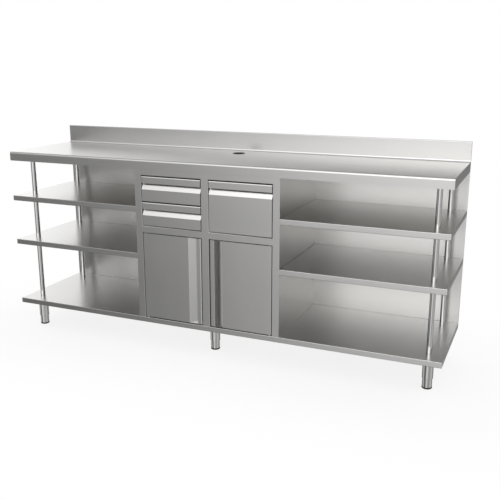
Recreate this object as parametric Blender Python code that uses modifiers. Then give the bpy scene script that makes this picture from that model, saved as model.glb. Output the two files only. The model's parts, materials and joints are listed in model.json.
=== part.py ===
"""Coffee machine counter: a long stainless steel counter with open shelves on both sides of a small cabinet.

Metres. +X is to the right seen from the front, +Y to the back, +Z up. The origin is on the floor under the middle.
"""

import math

import bmesh
import bpy
from mathutils import Matrix, Vector

# Overall sizes
LENGTH = 2.545
DEPTH = 0.595
WORKTOP_HEIGHT = 1.090
FASCIA_DROP = 0.0515
UPSTAND_RISE = 0.108
UPSTAND_THICKNESS = 0.012

# Sheet, bends and fits
SHEET = 0.0015
SKIN = 0.001
NOSE_BEND = 0.011
COVE_BEND = 0.010
UPSTAND_BEND = 0.003
GAP = 0.0003
BEND_STEPS = 4
ROUND_STEPS = 24

# Cable hole and the board under the worktop
CORE_THICKNESS = 0.018
HOLE_DIAMETER = 0.062
HOLE_FRONT_INSET = 0.452
BUSH_WALL = 0.003
BUSH_FLANGE = 0.004

# Shelves, back panel
UPPER_SHELF_DROP = 0.260
LOWER_SHELF_DROP = 0.267
BOTTOM_SHELF_HEIGHT = 0.189
SHELF_EDGE = 0.030
BACK_PANEL_DEPTH = 0.005

# Posts, legs and feet
POST_DIAMETER = 0.028
POST_WALL = 0.0015
POST_CLEARANCE = 0.0004
POST_END_INSET = 0.079
POST_FRONT_INSET = 0.102
POST_REAR_INSET = 0.069
MIDDLE_LEG_FRONT_INSET = 0.145
MIDDLE_LEG_OFFSET = 0.017
LEG_DIAMETER = 0.056
LEG_WALL = 0.002
LEG_FLANGE_DIAMETER = 0.080
LEG_FLANGE_THICKNESS = 0.003
FOOT_SHOWING = 0.055
FOOT_HIDDEN = 0.045
FOOT_CLEARANCE = 0.0005
FOOT_TIP_DIAMETER = 0.050
FOOT_PAD_DIAMETER = 0.0525
FOOT_PAD_HEIGHT = 0.008
FOOT_PAD_BEND = 0.003

# Cabinet front
STILE_WIDTH = 0.040
CENTRE_STILE_WIDTH = 0.044
OPENING_WIDTH = 0.363
TOP_RAIL = 0.0325
MIDDLE_RAIL = 0.038
DRAWER_BAY = 0.282
FRAME_DEPTH = 0.040

# Drawer fronts and door skins with their folded handles
SIDE_GAP = 0.003
DRAWER_TOP_GAP = 0.005
DRAWER_BOTTOM_GAP = 0.003
UPPER_DRAWER_HEIGHT = 0.1385
DOOR_TOP_GAP = 0.003
DOOR_BOTTOM_GAP = 0.006
DOOR_THICKNESS = 0.020
HANDLE_DEPTH = 0.038
HANDLE_BEND = 0.006
LIP_HEM = 0.003
DRAWER_LIP = 0.040
DRAWER_MOUTH = 0.033
DRAWER_FLANGE = 0.022
DOOR_LIP = 0.027
DOOR_MOUTH = 0.050

# Drawer trays and runners
TRAY_LIFT = 0.012
TRAY_TOP_GAP = 0.030
TRAY_REAR_GAP = 0.030
RUNNER_RISE = 0.050
RUNNER_HEIGHT = 0.040
RUNNER_FLANGE = 0.010
RUNNER_SHEET = 0.0012
RUNNER_CLEARANCE = 0.0005
MIDDLE_RUNNER_PROUD = 0.0015
RUNNER_SPACE = 0.013

# Knock bar of the deep drawer
KNOCK_BAR_DIAMETER = 0.016
KNOCK_SLEEVE_DIAMETER = 0.030
KNOCK_SLEEVE_LENGTH = 0.220
KNOCK_BAR_SETBACK = 0.110
KNOCK_BAR_DROP = 0.030

# Door pivots and catches
PIVOT_INSET = 0.012
PIVOT_SETBACK = 0.006
PIVOT_PIN_DIAMETER = 0.005
PIVOT_FLANGE_DIAMETER = 0.010
PIVOT_REACH = 0.012
PIVOT_CLEARANCE = 0.0004
PIVOT_STEPS = 16
CATCH_WIDTH = 0.046
CATCH_HEIGHT = 0.016

# Planes and heights worked out from the sizes above
FRONT = -DEPTH / 2
BACK = DEPTH / 2
FASCIA_BOTTOM = WORKTOP_HEIGHT - FASCIA_DROP
UPSTAND_TOP = WORKTOP_HEIGHT + UPSTAND_RISE
CORE_TOP = WORKTOP_HEIGHT - SHEET - GAP
CORE_BOTTOM = CORE_TOP - CORE_THICKNESS
UPPER_SHELF_HEIGHT = WORKTOP_HEIGHT - UPPER_SHELF_DROP
LOWER_SHELF_HEIGHT = UPPER_SHELF_HEIGHT - LOWER_SHELF_DROP
BACK_PANEL_FRONT = BACK - BACK_PANEL_DEPTH
CABINET_HALF = CENTRE_STILE_WIDTH / 2 + OPENING_WIDTH + STILE_WIDTH
OPENING_INNER = CENTRE_STILE_WIDTH / 2
OPENING_OUTER = OPENING_INNER + OPENING_WIDTH
DRAWER_BAY_TOP = FASCIA_BOTTOM - TOP_RAIL
DRAWER_BAY_BOTTOM = DRAWER_BAY_TOP - DRAWER_BAY
DOOR_BAY_TOP = DRAWER_BAY_BOTTOM - MIDDLE_RAIL
DOOR_TOP = DOOR_BAY_TOP - DOOR_TOP_GAP
DOOR_BOTTOM = BOTTOM_SHELF_HEIGHT + DOOR_BOTTOM_GAP
DOOR_WIDTH = OPENING_WIDTH - 2 * SIDE_GAP
POST_X = LENGTH / 2 - POST_END_INSET
POST_FRONT_Y = FRONT + POST_FRONT_INSET
POST_REAR_Y = BACK - POST_REAR_INSET
HOLE_Y = FRONT + HOLE_FRONT_INSET
WALL_FRONT = FRONT + FRAME_DEPTH + GAP
WALL_BACK = BACK_PANEL_FRONT - GAP
TRAY_FRONT = FRONT + HANDLE_DEPTH + SKIN / 2 + GAP
TRAY_BACK = BACK_PANEL_FRONT - TRAY_REAR_GAP

# Finishes: colour, roughness, metallic value
BRUSHED_STEEL = ((0.60, 0.60, 0.59), 0.32, 1.0)
POLISHED_STEEL = ((0.72, 0.72, 0.71), 0.12, 1.0)
ZINC_PLATE = ((0.50, 0.51, 0.52), 0.38, 1.0)
DARK_PLASTIC = ((0.03, 0.03, 0.03), 0.50, 0.0)
BLACK_RUBBER = ((0.02, 0.02, 0.02), 0.70, 0.0)
BOARD = ((0.42, 0.30, 0.19), 0.80, 0.0)


def clear_scene():
    """Removes whatever the scene holds and returns the collections of the parts and of the cutters."""
    for obj in list(bpy.data.objects):
        bpy.data.objects.remove(obj, do_unlink=True)
    made = []
    for name in ("coffee_machine_counter", "cutters"):
        collection = bpy.data.collections.new(name)
        bpy.context.scene.collection.children.link(collection)
        made.append(collection)
    return made


PARTS, CUTTERS = clear_scene()


def material_for(name, look):
    """A material of its own for one part."""
    colour, roughness, metallic = look
    material = bpy.data.materials.new(name)
    material.use_nodes = True
    shader = material.node_tree.nodes["Principled BSDF"]
    shader.inputs["Base Color"].default_value = (*colour, 1.0)
    shader.inputs["Roughness"].default_value = roughness
    shader.inputs["Metallic"].default_value = metallic
    return material


def add_part(name, shape, look):
    """Puts a finished bmesh into the scene as a named part."""
    mesh = bpy.data.meshes.new(name)
    shape.to_mesh(mesh)
    shape.free()
    mesh.materials.append(material_for(name, look))
    part = bpy.data.objects.new(name, mesh)
    PARTS.objects.link(part)
    return part


def make_helper(part):
    """Turns a part into a hidden shape that a Boolean uses."""
    PARTS.objects.unlink(part)
    CUTTERS.objects.link(part)
    part.hide_render = True
    part.display_type = "WIRE"
    return part


def combine(part, helper, operation):
    """Adds a Boolean that cuts the helper from the part, or joins it on."""
    boolean = part.modifiers.new(helper.name, "BOOLEAN")
    boolean.operation = operation
    boolean.solver = "EXACT"
    boolean.object = make_helper(helper)


def thicken(part, thickness, offset):
    """Gives an open surface its sheet thickness."""
    solidify = part.modifiers.new("sheet", "SOLIDIFY")
    solidify.thickness = thickness
    solidify.offset = offset
    solidify.use_even_offset = True


def box_shape(low, high):
    """A bmesh box between two corners."""
    low = Vector(low)
    high = Vector(high)
    shape = bmesh.new()
    bmesh.ops.create_cube(shape, size=1)
    bmesh.ops.scale(shape, vec=high - low, verts=shape.verts)
    bmesh.ops.translate(shape, vec=(low + high) / 2, verts=shape.verts)
    shape.normal_update()
    return shape


def box(name, low, high, look):
    """A solid box."""
    return add_part(name, box_shape(low, high), look)


def pan(name, low, high, open_side, thickness, look):
    """A box of sheet with one side open, its thickness inside the box."""
    shape = box_shape(low, high)
    lid = max(shape.faces, key=lambda face: face.normal.dot(Vector(open_side)))
    bmesh.ops.delete(shape, geom=[lid], context="FACES_ONLY")
    part = add_part(name, shape, look)
    thicken(part, thickness, -1)
    return part


def rounded(outline):
    """An open outline of (u, v, radius) corners with an arc at each corner that has a radius."""
    corners = [Vector(corner[:2]) for corner in outline]
    points = [corners[0]]
    for before, (u, v, radius), after in zip(corners, outline[1:-1], corners[2:]):
        corner = Vector((u, v))
        if radius == 0:
            points.append(corner)
            continue
        back = (before - corner).normalized()
        ahead = (after - corner).normalized()
        half_angle = math.acos(back.dot(ahead)) / 2
        centre = corner + (back + ahead).normalized() * radius / math.sin(half_angle)
        start = corner + back * radius / math.tan(half_angle) - centre
        end = corner + ahead * radius / math.tan(half_angle) - centre
        turn = math.copysign(math.pi - 2 * half_angle, start.cross(end))
        for step in range(BEND_STEPS + 1):
            points.append(centre + Matrix.Rotation(turn * step / BEND_STEPS, 2) @ start)
    points.append(corners[-1])
    return points


def placed(axis, u, v, along):
    """A point of an outline in space: X carries (y, z), Y carries (x, z) and Z carries (x, y)."""
    return Vector({"X": (along, u, v), "Y": (u, along, v), "Z": (u, v, along)}[axis])


def folded_sheet(name, outline, axis, start, end, thickness, look, capped=False):
    """A sheet folded along an outline and carried along one axis.

    The outline is the middle of the thickness. On a capped sheet, whose two ends are closed by flat plates, it is
    the outside.
    """
    shape = bmesh.new()
    corners = [shape.verts.new(placed(axis, u, v, start)) for u, v in rounded(outline)]
    edges = [shape.edges.new(pair) for pair in zip(corners, corners[1:])]
    grown = bmesh.ops.extrude_edge_only(shape, edges=edges)["geom"]
    far = [item for item in grown if isinstance(item, bmesh.types.BMVert)]
    bmesh.ops.translate(shape, vec=placed(axis, 0, 0, end - start), verts=far)
    if capped:
        for loop in (corners, far):
            rim = [edge for edge in shape.edges if all(vert in loop for vert in edge.verts)]
            tips = [vert for vert in loop if sum(edge in rim for edge in vert.link_edges) == 1]
            bmesh.ops.edgeloop_fill(shape, edges=rim + [shape.edges.new(tips)])
    bmesh.ops.recalc_face_normals(shape, faces=shape.faces)
    part = add_part(name, shape, look)
    thicken(part, thickness, -1 if capped else 0)
    return part


def turned(name, outline, place, look, ring=False, steps=ROUND_STEPS):
    """A turned piece from (radius, height) points, down its outer side; a ring's outline closes on itself."""
    shape = bmesh.new()
    corners = [shape.verts.new((radius, 0, height)) for radius, height in outline]
    ends = corners[1:] + corners[:1] if ring else corners[1:]
    for pair in zip(corners, ends):
        shape.edges.new(pair)
    part = add_part(name, shape, look)
    part.location = place
    screw = part.modifiers.new("turn", "SCREW")
    screw.steps = steps
    screw.render_steps = steps
    screw.use_merge_vertices = True
    screw.merge_threshold = 0.00001
    return part


def rod(name, radius, low, high, place, look, steps=ROUND_STEPS):
    """An upright cylinder between two heights at a place (x, y)."""
    shape = bmesh.new()
    bmesh.ops.create_cone(
        shape, cap_ends=True, segments=steps, radius1=radius, radius2=radius, depth=high - low
    )
    part = add_part(name, shape, look)
    part.location = (*place, (low + high) / 2)
    return part


def joint_empty(name, place, pieces):
    """An empty on a joint's axis that carries the moving pieces."""
    empty = bpy.data.objects.new(name, None)
    empty.location = place
    PARTS.objects.link(empty)
    for piece in pieces:
        piece.parent = empty
        piece.matrix_parent_inverse = Matrix.Translation(place).inverted()


def worktop_pieces():
    """The worktop sheet with its upstand and ends, the board under it and the bush that lines the board's hole."""
    upstand_front = BACK - UPSTAND_THICKNESS
    outline = [
        (FRONT, FASCIA_BOTTOM, 0),
        (FRONT, WORKTOP_HEIGHT, NOSE_BEND),
        (upstand_front, WORKTOP_HEIGHT, COVE_BEND),
        (upstand_front, UPSTAND_TOP, UPSTAND_BEND),
        (BACK, UPSTAND_TOP, UPSTAND_BEND),
        (BACK, FASCIA_BOTTOM, 0),
    ]
    worktop = folded_sheet("worktop", outline, "X", -LENGTH / 2, LENGTH / 2, SHEET, BRUSHED_STEEL, capped=True)
    core = box(
        "worktop_core",
        (SHEET + GAP - LENGTH / 2, FRONT + NOSE_BEND + SHEET, CORE_BOTTOM),
        (LENGTH / 2 - SHEET - GAP, upstand_front - GAP, CORE_TOP),
        BOARD,
    )
    inner = HOLE_DIAMETER / 2 + GAP
    outer = inner + BUSH_WALL
    for part, radius in ((worktop, HOLE_DIAMETER / 2), (core, outer + GAP)):
        hole = rod(
            f"{part.name}_hole",
            radius,
            CORE_BOTTOM - SHEET,
            WORKTOP_HEIGHT + SHEET,
            (0, HOLE_Y),
            DARK_PLASTIC,
        )
        combine(part, hole, "DIFFERENCE")
    under = CORE_BOTTOM - GAP
    bush = [
        (outer, CORE_TOP),
        (outer, under),
        (outer + BUSH_FLANGE, under),
        (outer + BUSH_FLANGE, under - BUSH_WALL),
        (inner, under - BUSH_WALL),
        (inner, CORE_TOP),
    ]
    turned("cable_bush", bush, (0, HOLE_Y, 0), DARK_PLASTIC, ring=True)


def shelf_pieces():
    """The five shelves, pans turned down at the edge, and the back panel behind them."""
    upper = UPPER_SHELF_HEIGHT
    lower = LOWER_SHELF_HEIGHT
    left = (-LENGTH / 2, -CABINET_HALF - GAP)
    right = (CABINET_HALF + GAP, LENGTH / 2)
    for name, (start, end), height in (
        ("left_upper_shelf", left, upper),
        ("left_lower_shelf", left, lower),
        ("right_upper_shelf", right, upper),
        ("right_lower_shelf", right, lower),
        ("bottom_shelf", (-LENGTH / 2, LENGTH / 2), BOTTOM_SHELF_HEIGHT),
    ):
        shelf = pan(
            name,
            (start, FRONT, height - SHELF_EDGE),
            (end, BACK_PANEL_FRONT - GAP, height),
            (0, 0, -1),
            SHEET,
            BRUSHED_STEEL,
        )
        if name == "bottom_shelf":
            continue
        post_x = math.copysign(POST_X, start + end)
        for y in (POST_FRONT_Y, POST_REAR_Y):
            hole = rod(
                f"{name}_post_hole",
                POST_DIAMETER / 2 + POST_CLEARANCE,
                height - SHELF_EDGE,
                height + SHELF_EDGE,
                (post_x, y),
                BRUSHED_STEEL,
            )
            combine(shelf, hole, "DIFFERENCE")
    pan(
        "back_panel",
        (-LENGTH / 2, BACK_PANEL_FRONT, BOTTOM_SHELF_HEIGHT - SHELF_EDGE),
        (LENGTH / 2, BACK, FASCIA_BOTTOM - GAP),
        (0, 1, 0),
        SKIN,
        BRUSHED_STEEL,
    )


def post_pieces():
    """Four tubes from the bottom shelf to the board under the worktop."""
    outer = POST_DIAMETER / 2
    top = CORE_BOTTOM - GAP
    bottom = BOTTOM_SHELF_HEIGHT + GAP
    tube = [(outer, top), (outer, bottom), (outer - POST_WALL, bottom), (outer - POST_WALL, top)]
    for side, x in (("left", -POST_X), ("right", POST_X)):
        for end, y in (("front", POST_FRONT_Y), ("rear", POST_REAR_Y)):
            turned(f"{end}_{side}_post", tube, (x, y, 0), POLISHED_STEEL, ring=True)


def leg_pieces():
    """Six leg sleeves under the bottom shelf, each with a foot that screws out of it."""
    top = BOTTOM_SHELF_HEIGHT - SHEET - GAP
    outer = LEG_DIAMETER / 2
    inner = outer - LEG_WALL
    sleeve = [
        (0, top),
        (LEG_FLANGE_DIAMETER / 2, top),
        (LEG_FLANGE_DIAMETER / 2, top - LEG_FLANGE_THICKNESS),
        (outer, top - LEG_FLANGE_THICKNESS),
        (outer, FOOT_SHOWING),
        (inner, FOOT_SHOWING),
        (inner, top - LEG_FLANGE_THICKNESS),
        (0, top - LEG_FLANGE_THICKNESS),
    ]
    stem = inner - FOOT_CLEARANCE
    foot = [
        (0, FOOT_SHOWING + FOOT_HIDDEN),
        (stem, FOOT_SHOWING + FOOT_HIDDEN),
        (stem, FOOT_SHOWING - GAP),
        (FOOT_TIP_DIAMETER / 2, FOOT_PAD_HEIGHT),
        (FOOT_PAD_DIAMETER / 2, FOOT_PAD_HEIGHT),
        (FOOT_PAD_DIAMETER / 2, FOOT_PAD_BEND),
        (FOOT_PAD_DIAMETER / 2 - FOOT_PAD_BEND, 0),
        (0, 0),
    ]
    for side, x, front_y in (
        ("left", -POST_X, POST_FRONT_Y),
        ("middle", -MIDDLE_LEG_OFFSET, FRONT + MIDDLE_LEG_FRONT_INSET),
        ("right", POST_X, POST_FRONT_Y),
    ):
        for end, y in (("front", front_y), ("rear", POST_REAR_Y)):
            turned(f"{end}_{side}_leg", sleeve, (x, y, 0), POLISHED_STEEL)
            turned(f"{end}_{side}_foot", foot, (x, y, 0), POLISHED_STEEL)


def frame_piece():
    """The cabinet's front frame: a plate with four openings, folded back round each of them."""
    bottom = BOTTOM_SHELF_HEIGHT + GAP
    top = FASCIA_BOTTOM - GAP
    shape = bmesh.new()
    bmesh.ops.create_grid(shape, x_segments=1, y_segments=1, size=0.5)
    bmesh.ops.scale(shape, vec=(2 * CABINET_HALF, top - bottom, 1), verts=shape.verts)
    bmesh.ops.rotate(shape, cent=(0, 0, 0), matrix=Matrix.Rotation(math.pi / 2, 3, "X"), verts=shape.verts)
    bmesh.ops.translate(shape, vec=(0, FRONT, (top + bottom) / 2), verts=shape.verts)
    breaks = [(Vector((x, 0, 0)), Vector((1, 0, 0))) for x in (-OPENING_OUTER, -OPENING_INNER)]
    breaks += [(Vector((x, 0, 0)), Vector((1, 0, 0))) for x in (OPENING_INNER, OPENING_OUTER)]
    breaks += [(Vector((0, 0, z)), Vector((0, 0, 1))) for z in (DOOR_BAY_TOP, DRAWER_BAY_BOTTOM, DRAWER_BAY_TOP)]
    for point, normal in breaks:
        everything = shape.verts[:] + shape.edges[:] + shape.faces[:]
        bmesh.ops.bisect_plane(shape, geom=everything, plane_co=point, plane_no=normal)
    openings = []
    for face in shape.faces:
        centre = face.calc_center_median()
        across = OPENING_INNER < abs(centre.x) < OPENING_OUTER
        if across and (centre.z < DOOR_BAY_TOP or DRAWER_BAY_BOTTOM < centre.z < DRAWER_BAY_TOP):
            openings.append(face)
    rims = {edge for face in openings for edge in face.edges if len(edge.link_faces) == 2}
    bmesh.ops.delete(shape, geom=openings, context="FACES_ONLY")
    grown = bmesh.ops.extrude_edge_only(shape, edges=list(rims))["geom"]
    far = [item for item in grown if isinstance(item, bmesh.types.BMVert)]
    bmesh.ops.translate(shape, vec=(0, FRAME_DEPTH, 0), verts=far)
    loose = [edge for edge in shape.edges if not edge.link_faces]
    bmesh.ops.delete(shape, geom=loose, context="EDGES")
    frame = add_part("front_frame", shape, BRUSHED_STEEL)
    thicken(frame, SHEET, -1)


def wall_pieces():
    """The cabinet's double-skinned walls, folded round at the back and open behind the stiles."""
    half = SKIN / 2
    bottom = BOTTOM_SHELF_HEIGHT + GAP
    top = CORE_BOTTOM - GAP
    back = WALL_BACK - half
    outer = CABINET_HALF - half
    inner = OPENING_OUTER + half
    for name, side in (("left_wall", -1), ("right_wall", 1)):
        outline = [
            (side * outer, FRONT + SHEET + GAP, 0),
            (side * outer, back, 0),
            (side * inner, back, 0),
            (side * inner, WALL_FRONT, 0),
        ]
        folded_sheet(name, outline, "Z", bottom, top, SKIN, BRUSHED_STEEL)
    centre = OPENING_INNER - half
    outline = [
        (-centre, WALL_FRONT, 0),
        (-centre, back, 0),
        (centre, back, 0),
        (centre, WALL_FRONT, 0),
    ]
    below_cables = FASCIA_BOTTOM - GAP
    folded_sheet("centre_wall", outline, "Z", bottom, below_cables, SKIN, BRUSHED_STEEL)


def handled_outline(plain_edge, width, mouth, lip):
    """A front folded into a handle: (distance from the plain edge, depth, bend radius) along the sheet's middle.

    The face runs to the mouth, slants back to the pocket's far edge, comes forward again there and ends in a lip
    that hangs over the mouth.
    """
    face = SKIN / 2
    far = width - SKIN / 2
    mouth_start = width - lip - mouth
    return plain_edge + [
        (mouth_start, face, LIP_HEM),
        (far, HANDLE_DEPTH, HANDLE_BEND),
        (far, face, HANDLE_BEND),
        (width - lip, face, 0),
        (width - lip, face + LIP_HEM, 0),
    ]


def runner_members(drawer, inner_x, inward, height):
    """The fixed and the middle member of one runner, channels that nest in each other; returns the middle one."""
    half = RUNNER_SHEET / 2
    side = "right" if inward < 0 else "left"
    fixed_web = GAP + half
    fixed_rise = RUNNER_HEIGHT / 2 - half
    step = RUNNER_SHEET + RUNNER_CLEARANCE
    made = []
    for kind, web, rise, lip in (
        ("fixed", fixed_web, fixed_rise, GAP + RUNNER_FLANGE),
        ("middle", fixed_web + step, fixed_rise - step, GAP + RUNNER_FLANGE + MIDDLE_RUNNER_PROUD),
    ):
        outline = [
            (inner_x + inward * lip, height - rise, 0),
            (inner_x + inward * web, height - rise, 0),
            (inner_x + inward * web, height + rise, 0),
            (inner_x + inward * lip, height + rise, 0),
        ]
        name = f"{drawer}_{kind}_runner_{side}"
        made.append(folded_sheet(name, outline, "Y", WALL_FRONT, TRAY_BACK, RUNNER_SHEET, ZINC_PLATE))
    return made[1]


def drawer_pieces(name, left, right, bottom, top):
    """One drawer: its front, its tray with two runner bars, and its runners. Returns the pieces that slide out."""
    edge = SKIN / 2
    plain_edge = [
        (DRAWER_FLANGE, HANDLE_DEPTH, 0),
        (edge, HANDLE_DEPTH, 0),
        (edge, edge, 0),
    ]
    outline = handled_outline(plain_edge, top - bottom, DRAWER_MOUTH, DRAWER_LIP)
    upright = [(FRONT + depth, bottom + rise, bend) for rise, depth, bend in outline]
    front = folded_sheet(f"{name}_front", upright, "X", left + SIDE_GAP, right - SIDE_GAP, SKIN, BRUSHED_STEEL)
    tray_top = top - TRAY_TOP_GAP
    tray = pan(
        f"{name}_tray",
        (left + RUNNER_SPACE, TRAY_FRONT, bottom + TRAY_LIFT),
        (right - RUNNER_SPACE, TRAY_BACK, tray_top),
        (0, 0, 1),
        SKIN,
        BRUSHED_STEEL,
    )
    height = bottom + RUNNER_RISE
    nested = 2 * (RUNNER_SHEET + RUNNER_CLEARANCE)
    bar_rise = RUNNER_HEIGHT / 2 - nested
    middles = []
    for inner_x, inward in ((left, 1), (right, -1)):
        middles.append(runner_members(name, inner_x, inward, height))
        near = inner_x + inward * (GAP + nested)
        far = inner_x + inward * (RUNNER_SPACE + SKIN / 2)
        bar = box(
            f"{name}_bar",
            (min(near, far), TRAY_FRONT, height - bar_rise),
            (max(near, far), TRAY_BACK, height + bar_rise),
            ZINC_PLATE,
        )
        combine(tray, bar, "UNION")
    centre = (left + right) / 2
    joint_empty(f"{name}_middle_slide", (centre, WALL_FRONT, height), middles)
    return front, tray


def knock_bar_pieces(left, right, top):
    """The knock bar of the deep drawer, a rod across the tray with a rubber sleeve on it."""
    half_length = (right - left) / 2 - RUNNER_SPACE - SKIN - GAP
    bar_radius = KNOCK_BAR_DIAMETER / 2
    place = ((left + right) / 2, TRAY_FRONT + KNOCK_BAR_SETBACK, top - TRAY_TOP_GAP - KNOCK_BAR_DROP)
    bar = rod("knock_bar", bar_radius, -half_length, half_length, (0, 0), POLISHED_STEEL)
    outer = KNOCK_SLEEVE_DIAMETER / 2
    inner = bar_radius + GAP
    half_sleeve = KNOCK_SLEEVE_LENGTH / 2
    tube = [(outer, half_sleeve), (outer, -half_sleeve), (inner, -half_sleeve), (inner, half_sleeve)]
    sleeve = turned("knock_bar_sleeve", tube, (0, 0, 0), BLACK_RUBBER, ring=True)
    for piece in (bar, sleeve):
        piece.location = place
        piece.rotation_euler = (0, math.pi / 2, 0)
    return bar, sleeve


def door_pieces(name, side):
    """One door with its pivots and catch; side is -1 on the left and 1 on the right, where the hinge edge lies."""
    edge = SKIN / 2
    hinge_x = side * (OPENING_OUTER - SIDE_GAP)
    plain_edge = [(edge, DOOR_THICKNESS, 0), (edge, edge, 0)]
    outline = handled_outline(plain_edge, DOOR_WIDTH, DOOR_MOUTH, DOOR_LIP)
    level = [(hinge_x - side * run, FRONT + depth, bend) for run, depth, bend in outline]
    skin = folded_sheet(f"{name}_skin", level, "Z", DOOR_BOTTOM, DOOR_TOP, SKIN, BRUSHED_STEEL)
    near = hinge_x - side * (SKIN + GAP)
    far = hinge_x - side * (DOOR_WIDTH - DOOR_LIP - DOOR_MOUTH - LIP_HEM)
    liner = pan(
        f"{name}_liner",
        (min(near, far), FRONT + SKIN + GAP, DOOR_BOTTOM),
        (max(near, far), FRONT + DOOR_THICKNESS, DOOR_TOP),
        (0, -1, 0),
        SKIN,
        BRUSHED_STEEL,
    )
    axis = (hinge_x - side * PIVOT_INSET, FRONT + PIVOT_SETBACK)
    pin = PIVOT_PIN_DIAMETER / 2
    hole = rod(
        f"{name}_pivot_hole",
        pin + PIVOT_CLEARANCE,
        DOOR_BOTTOM - DOOR_BOTTOM_GAP,
        DOOR_TOP + DOOR_TOP_GAP,
        axis,
        ZINC_PLATE,
        PIVOT_STEPS,
    )
    combine(liner, hole, "DIFFERENCE")
    flange = PIVOT_FLANGE_DIAMETER / 2
    seat = DOOR_BAY_TOP - GAP
    top_pivot = [
        (0, seat),
        (flange, seat),
        (flange, DOOR_TOP + GAP),
        (pin, DOOR_TOP + GAP),
        (pin, DOOR_TOP - PIVOT_REACH),
        (0, DOOR_TOP - PIVOT_REACH),
    ]
    seat = BOTTOM_SHELF_HEIGHT + GAP
    bottom_pivot = [
        (0, DOOR_BOTTOM + PIVOT_REACH),
        (pin, DOOR_BOTTOM + PIVOT_REACH),
        (pin, DOOR_BOTTOM - GAP),
        (flange, DOOR_BOTTOM - GAP),
        (flange, seat),
        (0, seat),
    ]
    for end, pivot in (("top", top_pivot), ("bottom", bottom_pivot)):
        turned(f"{name}_{end}_pivot", pivot, (*axis, 0), ZINC_PLATE, steps=PIVOT_STEPS)
    catch_x = (near + far) / 2
    box(
        f"{name}_catch",
        (catch_x - CATCH_WIDTH / 2, FRONT + DOOR_THICKNESS + GAP, DOOR_BAY_TOP - GAP - CATCH_HEIGHT),
        (catch_x + CATCH_WIDTH / 2, FRONT + FRAME_DEPTH, DOOR_BAY_TOP - GAP),
        DARK_PLASTIC,
    )
    joint_empty(f"{name}_hinge", (*axis, DOOR_BOTTOM), (skin, liner))


def drawer_column_pieces():
    """Two shallow drawers on the left and one deep drawer on the right."""
    top = DRAWER_BAY_TOP - DRAWER_TOP_GAP
    bottom = DRAWER_BAY_BOTTOM + DRAWER_BOTTOM_GAP
    split = top - UPPER_DRAWER_HEIGHT
    left = (-OPENING_OUTER, -OPENING_INNER)
    right = (OPENING_INNER, OPENING_OUTER)
    for name, (start, end), low, high in (
        ("upper_left_drawer", left, split, top),
        ("lower_left_drawer", left, bottom, split - DRAWER_TOP_GAP),
        ("deep_drawer", right, bottom, top),
    ):
        pieces = drawer_pieces(name, start, end, low, high)
        if name == "deep_drawer":
            pieces += knock_bar_pieces(start, end, high)
        joint_empty(f"{name}_slide", ((start + end) / 2, FRONT, low), pieces)


def main():
    """Builds the whole counter."""
    worktop_pieces()
    shelf_pieces()
    post_pieces()
    leg_pieces()
    frame_piece()
    wall_pieces()
    drawer_column_pieces()
    door_pieces("left_door", -1)
    door_pieces("right_door", 1)


main()
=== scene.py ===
"""Looks of the coffee machine counter: folded sheets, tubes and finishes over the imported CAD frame.

Metres. +X is to the right seen from the front, +Y to the back, +Z up, and the floor is at z = 0.
"""

from __future__ import annotations

import json
import logging
import math
from dataclasses import dataclass
from enum import Enum
from typing import Sequence

import bmesh
import bpy
import numpy as np
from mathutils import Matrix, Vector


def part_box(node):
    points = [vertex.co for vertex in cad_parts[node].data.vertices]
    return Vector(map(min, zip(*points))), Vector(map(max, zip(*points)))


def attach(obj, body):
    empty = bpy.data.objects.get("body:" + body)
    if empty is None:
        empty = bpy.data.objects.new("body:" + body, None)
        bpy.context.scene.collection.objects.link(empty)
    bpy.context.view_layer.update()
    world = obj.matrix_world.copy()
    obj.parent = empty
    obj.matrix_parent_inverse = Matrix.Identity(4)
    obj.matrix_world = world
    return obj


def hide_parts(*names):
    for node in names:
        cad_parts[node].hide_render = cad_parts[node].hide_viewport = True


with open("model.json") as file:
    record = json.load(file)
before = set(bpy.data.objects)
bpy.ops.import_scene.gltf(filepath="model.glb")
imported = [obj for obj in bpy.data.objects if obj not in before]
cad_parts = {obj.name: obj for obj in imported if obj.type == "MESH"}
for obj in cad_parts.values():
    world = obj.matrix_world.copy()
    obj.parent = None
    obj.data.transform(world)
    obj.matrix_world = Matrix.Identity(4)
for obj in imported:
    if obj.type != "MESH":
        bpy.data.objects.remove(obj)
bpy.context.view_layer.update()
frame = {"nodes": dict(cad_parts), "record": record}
BODY_OF = {node: body for body, nodes in frame["record"]["behaviour"]["bodies"].items() for node in nodes}
LOG = logging.getLogger("counter")

Array = np.ndarray
Node = bpy.types.Node
Socket = bpy.types.NodeSocket
Pair = tuple[float, float]
Colour = tuple[float, float, float]
Corner = tuple[float, float, float]
Place = tuple[float, float, float]

# How far a point stands beside a bend to keep the flat's shading flat.
SUPPORT = 0.0004
# Points nearer than this are one, and grid lines are rounded to so many digits.
WELD = 0.000002
GRID_DIGITS = 7
SHARP_ANGLE = math.radians(32)
EIGHTH_TURN = math.pi / 4
FULL_TURN = 2 * math.pi
ROUND_SIDES = 64
HOLE_SIDES = 48
# Half the width of the square of sheet round a hole, in radii of the hole.
HOLE_SQUARE = 1.3
NOISE_ROUGHNESS = 0.55


class Axis(Enum):
    """An axis of the shared frame."""

    X = 0
    Y = 1
    Z = 2

    @property
    def others(self) -> tuple[int, int]:
        """The other two axes, in order."""
        return tuple(index for index in range(3) if index != self.value)

    def carry(self, line: Array, stations: Array) -> Array:
        """Carries a flat line along the axis: row i holds the line moved to station i.

        Args:
            line: (n, 2) points in the plane across the axis.
            stations: the m places along the axis.

        Returns:
            The (m, n, 3) grid of points.
        """
        grid = np.empty((len(stations), len(line), 3))
        grid[..., self.value] = stations[:, None]
        grid[..., list(self.others)] = line
        return grid

    def lay(self, line: Array, station: float) -> Array:
        """A flat line at one place along the axis."""
        return self.carry(line, np.array((station,)))[0]


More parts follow.
